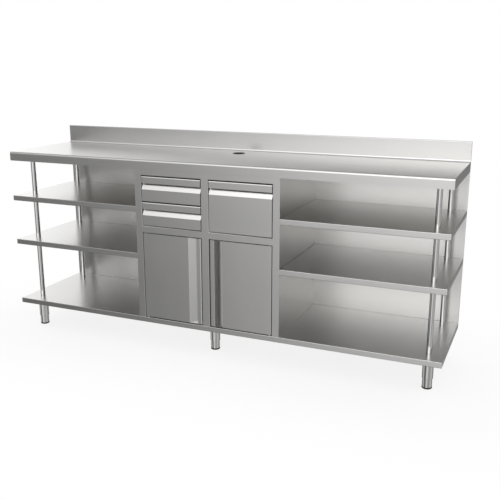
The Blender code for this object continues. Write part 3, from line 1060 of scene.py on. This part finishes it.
@dataclass
class Shelving:
    """The five shelves, pans with a hemmed edge, and the back panel behind them."""

    sheet: float = 0.0015
    panel_sheet: float = 0.001
    bend: float = 0.0022
    hem: float = 0.012
    panel_bend: float = 0.0018
    post_clearance: float = 0.0004

    def build(self) -> None:
        """Builds and dresses the shelves and the back panel."""
        for side in Side:
            for level in ("upper", "lower"):
                self.shelf(f"{side.name.lower()}_{level}_shelf", self.post_holes(side))
        self.shelf("bottom_shelf", [])
        self.back_panel()

    def post_holes(self, side: Side) -> list[RoundHole]:
        """The holes that a side's two posts pass through.

        Args:
            side: the side of the counter.

        Returns:
            The front hole and the rear hole.
        """
        holes = []
        for end in ("front", "rear"):
            node = f"{end}_{side.name.lower()}_post"
            low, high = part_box(node)
            holes.append(RoundHole(centre_of(node)[:2], (high.x - low.x) / 2 + self.post_clearance))
        return holes

    def shelf(self, node: str, holes: list[RoundHole]) -> None:
        """One shelf: a flat sheet, its border turned down and hemmed.

        Args:
            node: the CAD node.
            holes: the posts' holes.
        """
        low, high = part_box(node)
        pan = PressedSheet(
            plane=Plane(Axis.Z, high.z, -1),
            low=(low.x, low.y),
            high=(high.x, high.y),
            sheet=self.sheet,
            bend=self.bend,
            depth=high.z - low.z,
            hem=self.hem,
            holes=holes,
        )
        add_piece(pan.build(), f"{node}_pan", node, SATIN_LONG)

    def back_panel(self) -> None:
        """The back panel: a flat sheet with its border turned to the back."""
        low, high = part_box("back_panel")
        pan = PressedSheet(
            plane=Plane(Axis.Y, low.y, 1),
            low=(low.x, low.z),
            high=(high.x, high.z),
            sheet=self.panel_sheet,
            bend=self.panel_bend,
            depth=high.y - low.y,
        )
        add_piece(pan.build(), "back_panel_sheet", "back_panel", SATIN_LONG)


@dataclass
class Supports:
    """The posts between the shelves and the legs with their screw feet."""

    post_wall: float = 0.0015
    post_round: float = 0.0005
    leg_radius: float = 0.028
    leg_wall: float = 0.002
    leg_flange: float = 0.003
    leg_top_round: float = 0.0006
    leg_brim_round: float = 0.0012
    leg_neck_round: float = 0.002
    leg_rim_round: float = 0.0008
    leg_bore_round: float = 0.0010
    foot_stem: float = 0.0255
    foot_tip: float = 0.025
    foot_showing: float = 0.0547
    foot_groove: float = 0.0010
    stem_round: float = 0.001
    tip_rise: float = 0.0012
    tip_round: float = 0.0004
    pad_height: float = 0.008
    pad_edge_round: float = 0.0008
    pad_round: float = 0.004
    pad_colour_rise: float = 0.0006

    def build(self) -> None:
        """Builds and dresses the posts, legs and feet."""
        for end in ("front", "rear"):
            for side in ("left", "right"):
                self.post(f"{end}_{side}_post")
            for side in ("left", "middle", "right"):
                self.leg(f"{end}_{side}_leg")
                self.foot(f"{end}_{side}_foot")

    def post(self, node: str) -> None:
        """One post: a tube turned from its wall's section.

        Args:
            node: the CAD node.
        """
        low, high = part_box(node)
        radius = (high.x - low.x) / 2
        bore = radius - self.post_wall
        middle = (low.z + high.z) / 2
        corners = [
            (radius, middle, 0),
            (radius, high.z, self.post_round),
            (bore, high.z, self.post_round),
            (bore, low.z, self.post_round),
            (radius, low.z, self.post_round),
            (radius, middle, 0),
        ]
        turned_piece(bent_line(corners, steps=3), f"{node}_tube", node, BRIGHT_TUBE)

    def leg(self, node: str) -> None:
        """One leg: a sleeve with a flange on top and a rounded lower rim, turned from its section.

        Args:
            node: the CAD node.
        """
        low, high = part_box(node)
        brim = (high.x - low.x) / 2
        bore = self.leg_radius - self.leg_wall
        under = high.z - self.leg_flange
        corners = [
            (0, high.z, 0),
            (brim, high.z, self.leg_top_round),
            (brim, under, self.leg_brim_round),
            (self.leg_radius, under, self.leg_neck_round),
            (self.leg_radius, low.z, self.leg_rim_round),
            (bore, low.z, self.leg_rim_round),
            (bore, under, self.leg_bore_round),
            (0, under, 0),
        ]
        turned_piece(bent_line(corners, steps=5), f"{node}_sleeve", node, BRIGHT_TUBE)

    def foot(self, node: str) -> None:
        """One foot: a stem that tapers to its tip, a groove and a round dark pad, turned from its section.

        Args:
            node: the CAD node.
        """
        low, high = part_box(node)
        pad = (high.x - low.x) / 2
        neck = self.foot_tip - self.foot_groove
        corners = [
            (0, high.z, 0),
            (self.foot_stem, high.z, self.stem_round),
            (self.foot_stem, self.foot_showing, self.stem_round),
            (self.foot_tip, self.pad_height + self.tip_rise, self.tip_round),
            (neck, self.pad_height + self.foot_groove, 0),
            (neck, self.pad_height, 0),
            (pad, self.pad_height, self.pad_edge_round),
            (pad, low.z, self.pad_round),
            (0, low.z, 0),
        ]
        piece = turned_piece(bent_line(corners, steps=5), f"{node}_stem", node, BRIGHT_TUBE)
        piece.data.materials.append(DARK_PLASTIC.material())
        centres = np.empty(3 * len(piece.data.polygons))
        piece.data.polygons.foreach_get("center", centres)
        on_pad = centres[2::3] < self.pad_height + self.pad_colour_rise
        piece.data.polygons.foreach_set("material_index", on_pad.astype(np.int32))


@dataclass
class CabinetFrame:
    """The cabinet's front frame with its four openings, and the walls behind it."""

    sheet: float = 0.0015
    bend: float = 0.0020
    depth: float = 0.040
    stile: float = 0.040
    centre_stile: float = 0.044
    top_rail: float = 0.0325
    middle_rail: float = 0.038
    drawer_bay: float = 0.282
    seat: float = 0.0003

    def build(self) -> None:
        """Builds and dresses the frame and the walls."""
        self.front_frame()
        for wall in ("left_wall", "centre_wall", "right_wall"):
            dress_node(wall, SATIN_UPRIGHT)

    def windows(self) -> list[Window]:
        """The four openings: two for drawers, and two for doors that run down to the bottom shelf.

        Returns:
            The openings, from left to right.
        """
        low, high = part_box("front_frame")
        inner = self.centre_stile / 2
        outer = high.x - self.stile
        drawer_top = high.z + self.seat - self.top_rail
        drawer_bottom = drawer_top - self.drawer_bay
        door_top = drawer_bottom - self.middle_rail
        found = []
        for start, end in ((-outer, -inner), (inner, outer)):
            found.append(Window((start, drawer_bottom), (end, drawer_top)))
            found.append(Window((start, low.z), (end, door_top), open_below=True))
        return found

    def front_frame(self) -> None:
        """The frame: a flat sheet folded back round its openings."""
        low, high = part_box("front_frame")
        sheet = PressedSheet(
            plane=Plane(Axis.Y, low.y, 1),
            low=(low.x, low.z),
            high=(high.x, high.z),
            sheet=self.sheet,
            bend=self.bend,
            depth=self.depth,
            border_folded=False,
            windows=self.windows(),
        )
        add_piece(sheet.build(), "front_frame_sheet", "front_frame", SATIN_UPRIGHT)


@dataclass(frozen=True)
class HandleFold:
    """A front's edge folded into a handle: mouth, slanted pocket, roof and hanging lip.

    Its end plates stand in from the ends by plate_inset, in thicknesses of the sheet.
    """

    mouth: float
    lip: float
    sheet: float = 0.001
    depth: float = 0.038
    bend: float = 0.006
    hem: float = 0.003
    lip_round: float = 0.0010
    plate_inset: float = 0.5

    def corners(self, width: float) -> list[Corner]:
        """The fold's corners along the sheet's middle, from the mouth round the pocket and lip to the hem.

        Args:
            width: from the front's plain edge to its folded one.

        Returns:
            The (distance from the plain edge, depth, bend) of each corner.
        """
        face = self.sheet / 2
        far = width - face
        start = width - self.lip - self.mouth
        return [
            (start, face, self.hem),
            (far, self.depth, self.bend),
            (far, face, self.bend),
            (width - self.lip, face, self.lip_round),
            (width - self.lip, face + self.hem, 0),
        ]

    def end_plates(self, patch: Patchwork, pocket: Array, axis: Axis, start: float, end: float) -> None:
        """Adds the two plates that close the pocket: its section, shut by a straight line across the mouth.

        Args:
            patch: the patchwork that takes them.
            pocket: (n, 2) points of the sheet's middle line, from the mouth round to the lip.
            axis: the way the fold is carried.
            start: where the fold begins.
            end: where the fold ends.
        """
        shut = np.concatenate((pocket, pocket[:1]))
        for near, inward in ((start, 1), (end, -1)):
            faces = near + inward * self.sheet * np.array((self.plate_inset, self.plate_inset + 1))
            sides = axis.carry(shut, faces)
            patch.grid(sides)
            for side in sides:
                patch.polygon(side[:-1])


@dataclass
class Drawer:
    """One drawer: its folded front, its tray with runner bars, and its runners."""

    name: str
    fold: HandleFold = HandleFold(mouth=0.033, lip=0.040)
    plain_bend: float = 0.0015
    flange: float = 0.022

    def build(self) -> None:
        """Builds and dresses the drawer."""
        self.front()
        dress_node(f"{self.name}_tray", SATIN_DEEP)
        for side in Side:
            for member in ("fixed", "middle"):
                dress_node(f"{self.name}_{member}_runner_{side.name.lower()}", ZINC_PLATE)

    def front(self) -> None:
        """The front: one sheet folded along its section and carried along X."""
        node = f"{self.name}_front"
        low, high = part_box(node)
        edge = self.fold.sheet / 2
        corners = [
            (self.flange, self.fold.depth, 0),
            (edge, self.fold.depth, self.plain_bend),
            (edge, edge, self.plain_bend),
            *self.fold.corners(high.z - low.z),
        ]
        upright = [(low.y + depth, low.z + rise, bend) for rise, depth, bend in corners]
        patch = folded_sheet(bent_line(upright), self.fold.sheet, Axis.X, low.x, high.x)
        add_piece(patch, f"{node}_fold", node, SATIN_LONG)


@dataclass
class KnockBar:
    """The deep drawer's knock bar: a rod with a grooved rubber sleeve."""

    rod_round: float = 0.001
    sleeve_fit: float = 0.0003
    sleeve_margin: float = 0.002
    sleeve_stations: int = 241
    sleeve_end_round: float = 0.0015
    sleeve_bore_round: float = 0.0005
    grooves: int = 14
    groove_depth: float = 0.0014
    groove_power: int = 6

    def build(self) -> None:
        """Builds and dresses the rod and its sleeve."""
        self.rod()
        self.sleeve()

    def rod(self) -> None:
        """The rod: it lies along X with rounded ends, turned from its section."""
        low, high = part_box("knock_bar")
        radius = (high.z - low.z) / 2
        corners = [
            (0, low.x, 0),
            (radius, low.x, self.rod_round),
            (radius, high.x, self.rod_round),
            (0, high.x, 0),
        ]
        turned_piece(bent_line(corners, steps=4), "knock_bar_rod", "knock_bar", BRIGHT_ROD, Axis.X)

    def sleeve(self) -> None:
        """The rubber sleeve: radius less a groove of (0.5 - 0.5 cos) to a power along X, round a bore."""
        low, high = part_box("knock_bar_sleeve")
        rod_low, rod_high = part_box("knock_bar")
        bore = (rod_high.z - rod_low.z) / 2 + self.sleeve_fit
        radius = (high.z - low.z) / 2
        middle = (low.x + high.x) / 2
        along = np.linspace(low.x + self.sleeve_margin, high.x - self.sleeve_margin, self.sleeve_stations)
        phase = FULL_TURN * self.grooves * (along - along[0]) / (along[-1] - along[0])
        grooved = radius - self.groove_depth * (0.5 - 0.5 * np.cos(phase)) ** self.groove_power
        start = [
            (bore, middle, 0),
            (bore, low.x, self.sleeve_bore_round),
            (radius, low.x, self.sleeve_end_round),
            (radius, along[0], 0),
        ]
        end = [
            (radius, along[-1], 0),
            (radius, high.x, self.sleeve_end_round),
            (bore, high.x, self.sleeve_bore_round),
            (bore, middle, 0),
        ]
        grooves = np.stack((grooved, along), axis=1)
        outline = np.concatenate((bent_line(start, steps=4)[:-1], grooves, bent_line(end, steps=4)[1:]))
        turned_piece(outline, "knock_bar_sleeve_rubber", "knock_bar_sleeve", BLACK_RUBBER, Axis.X)


@dataclass
class Door:
    """One door: its folded skin, its liner, its pivots and its catch."""

    side: Side
    fold: HandleFold = HandleFold(mouth=0.050, lip=0.027)
    thickness: float = 0.020
    plain_bend: float = 0.0015

    @property
    def name(self) -> str:
        """The door's name in the frame."""
        return f"{self.side.name.lower()}_door"

    def build(self) -> None:
        """Builds and dresses the door."""
        self.skin()
        dress_node(f"{self.name}_liner", SATIN_UPRIGHT)
        dress_node(f"{self.name}_catch", DARK_PLASTIC)
        for end in ("top", "bottom"):
            dress_node(f"{self.name}_{end}_pivot", ZINC_PLATE)

    def skin(self) -> None:
        """The skin: one sheet folded along its section, from the hinge edge to the lip, and carried up Z."""
        node = f"{self.name}_skin"
        low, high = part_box(node)
        hinge = low.x if self.side is Side.LEFT else high.x
        edge = self.fold.sheet / 2
        plain = [(edge, self.thickness, 0), (edge, edge, self.plain_bend)]
        corners = plain + self.fold.corners(high.x - low.x)
        level = [(hinge - self.side.value * run, low.y + depth, bend) for run, depth, bend in corners]
        pocket = bent_line(level[len(plain):-1])
        patch = folded_sheet(bent_line(level), self.fold.sheet, Axis.Z, low.z, high.z)
        self.fold.end_plates(patch, pocket, Axis.Z, low.z, high.z)
        add_piece(patch, f"{node}_fold", node, SATIN_UPRIGHT)


@dataclass(frozen=True)
class SoftLight:
    """A soft patch of the studio's walls: where it lies, how closely it is gathered, and how bright it is.

    Its light is strength times (0.5 + 0.5 cos of the angle to its middle) to the power gather.
    """

    azimuth: float
    elevation: float
    gather: float
    strength: float

    @property
    def direction(self) -> Place:
        """The way to its middle; azimuth 0 is the back, 90 the right.

        Returns:
            The way, at length one.
        """
        turn = math.radians(self.azimuth)
        rise = math.radians(self.elevation)
        return math.sin(turn) * math.cos(rise), math.cos(turn) * math.cos(rise), math.sin(rise)


@dataclass
class Studio:
    """The plain studio: soft walls of light, a pale floor and the camera."""

    lights: Sequence[SoftLight]
    plain_level: float = 1.0
    floor_low: Pair = (-2.0, -1.05)
    floor_high: Pair = (2.0, 1.05)
    floor_lines: tuple[int, int] = (15, 9)
    floor_fade: float = 0.55
    floor_colour: Colour = (0.97, 0.97, 0.965)
    shadow_share: float = 0.16
    camera_place: Place = (1.6752, -3.6198, 1.6067)
    camera_tilt: float = 14.819
    camera_turn: float = 23.057
    camera_reach: float = 50.0
    sensor: float = 36.0
    lens: float = 51.55

    def build(self) -> None:
        """Builds the world, the floor and the camera."""
        bpy.context.scene.view_settings.view_transform = "Standard"
        self.world()
        self.floor()
        self.camera()

    @staticmethod
    def seen(nodes: NodeTree) -> tuple[Socket, Socket]:
        """Whether a ray comes from the camera, and whether it does or comes off a gloss or through glass.

        Args:
            nodes: the nodes that ask.

        Returns:
            The two truths.
        """
        path = nodes.add("ShaderNodeLightPath").outputs
        glossy = nodes.math("MAXIMUM", path["Is Glossy Ray"], path["Is Transmission Ray"])
        return path["Is Camera Ray"], nodes.math("MAXIMUM", path["Is Camera Ray"], glossy)

    def world(self) -> None:
        """The walls: white behind the object, and the soft lights where metal mirrors them."""
        world = bpy.data.worlds.new("studio")
        bpy.context.scene.world = world
        world.use_nodes = True
        world.node_tree.nodes.clear()
        nodes = NodeTree(world.node_tree)
        direction = nodes.add("ShaderNodeTexCoord").outputs["Generated"]
        total = 0.0
        for light in self.lights:
            inputs = {0: direction, 1: light.direction}
            cosine = nodes.add("ShaderNodeVectorMath", inputs, operation="DOT_PRODUCT").outputs["Value"]
            lifted = nodes.math("MULTIPLY_ADD", cosine, 0.5, 0.5)
            gathered = nodes.math("POWER", lifted, light.gather)
            total = nodes.math("MULTIPLY_ADD", gathered, light.strength, total)
        camera, mirrored = self.seen(nodes)
        walls = nodes.add("ShaderNodeBackground", {"Color": nodes.choose(camera, total, 1.0)})
        white = {"Color": (1.0, 1.0, 1.0, 1.0), "Strength": self.plain_level}
        plain = nodes.add("ShaderNodeBackground", white)
        both = nodes.either(mirrored, plain, walls)
        nodes.add("ShaderNodeOutputWorld", {"Surface": both.outputs[0]})

    def floor(self) -> None:
        """The floor: a flat grid."""
        sides = zip(self.floor_low, self.floor_high, self.floor_lines)
        lines = [np.linspace(low, high, count) for low, high, count in sides]
        flat = np.stack(np.meshgrid(*lines, indexing="ij"), axis=-1)
        patch = Patchwork()
        patch.grid(Plane(Axis.Z, 0.0, 1).place(flat, 0.0))
        floor = bpy.data.objects.new("studio_floor", patch.mesh("studio_floor"))
        bpy.context.scene.collection.objects.link(floor)
        floor.data.materials.append(self.floor_material())

    def floor_material(self) -> bpy.types.Material:
        """The floor's looks: white in view, with a shadow that fades out to its edge, and clear in metal.

        Returns:
            The material.
        """
        material = bpy.data.materials.new("pale_floor")
        material.use_nodes = True
        material.node_tree.nodes.clear()
        nodes = NodeTree(material.node_tree)
        camera, mirrored = self.seen(nodes)
        place = nodes.add("ShaderNodeTexCoord").outputs["Object"]
        apart = nodes.add("ShaderNodeSeparateXYZ", {"Vector": place}).outputs
        inside = self.shadow_share
        for socket, reach in zip((apart["X"], apart["Y"]), self.floor_high):
            edge = nodes.remap(nodes.math("ABSOLUTE", socket), reach - self.floor_fade, reach, 1.0, 0.0)
            inside = nodes.math("MULTIPLY", edge, inside)
        diffuse = nodes.add("ShaderNodeBsdfDiffuse", {"Color": (*self.floor_colour, 1.0)})
        glow = nodes.add("ShaderNodeEmission", {"Strength": 1.0})
        clear = nodes.add("ShaderNodeBsdfTransparent")
        share = nodes.math("MULTIPLY", camera, nodes.math("SUBTRACT", 1.0, inside))
        pale = nodes.either(share, diffuse, glow)
        both = nodes.either(nodes.math("SUBTRACT", mirrored, camera), pale, clear)
        nodes.add("ShaderNodeOutputMaterial", {"Surface": both.outputs[0]})
        return material

    def camera(self) -> None:
        """The camera at the photograph's place."""
        data = bpy.data.cameras.new("studio_camera")
        data.sensor_width = self.sensor
        data.lens = self.lens
        data.clip_end = self.camera_reach
        camera = bpy.data.objects.new("studio_camera", data)
        camera.location = self.camera_place
        camera.rotation_euler = (math.radians(90 - self.camera_tilt), 0.0, math.radians(self.camera_turn))
        bpy.context.scene.collection.objects.link(camera)
        bpy.context.scene.camera = camera


SOFT_LIGHTS = (
    SoftLight(0, 90, 0, 0.03),
    SoftLight(0, 90, 2, 0.22),
    SoftLight(90, 0, 2, 0.21),
    SoftLight(181, 12, 24, 1.27),
    SoftLight(190, 2, 50, 0.20),
    SoftLight(188, -26, 50, 0.55),
    SoftLight(165, -25, 30, 0.10),
    SoftLight(150, -5, 20, 0.17),
    SoftLight(150, 25, 12, 0.72),
    SoftLight(180, 40, 20, 0.98),
    SoftLight(200, 40, 20, 0.92),
    SoftLight(225, 48, 14, 0.22),
    SoftLight(-44, 12, 36, 0.72),
    SoftLight(-48, 14, 40, 0.96),
    SoftLight(0, 90, 12, 0.50),
    SoftLight(270, -30, 20, 0.40),
    SoftLight(90, -30, 20, 0.40),
    SoftLight(0, -40, 20, 0.45),
    SoftLight(256, -8, 40, 0.40),
)


def main() -> None:
    """Builds the counter, sub-assembly by sub-assembly, and the studio round it."""
    logging.basicConfig(level=logging.INFO, format="%(name)s: %(message)s")
    assemblies = [
        Studio(SOFT_LIGHTS),
        Worktop(),
        Shelving(),
        Supports(),
        CabinetFrame(),
        Drawer("upper_left_drawer"),
        Drawer("lower_left_drawer"),
        Drawer("deep_drawer"),
        KnockBar(),
        Door(Side.LEFT),
        Door(Side.RIGHT),
    ]
    for assembly in assemblies:
        assembly.build()
        LOG.info("%s built", type(assembly).__name__)


if __name__ == "__main__":
    main()
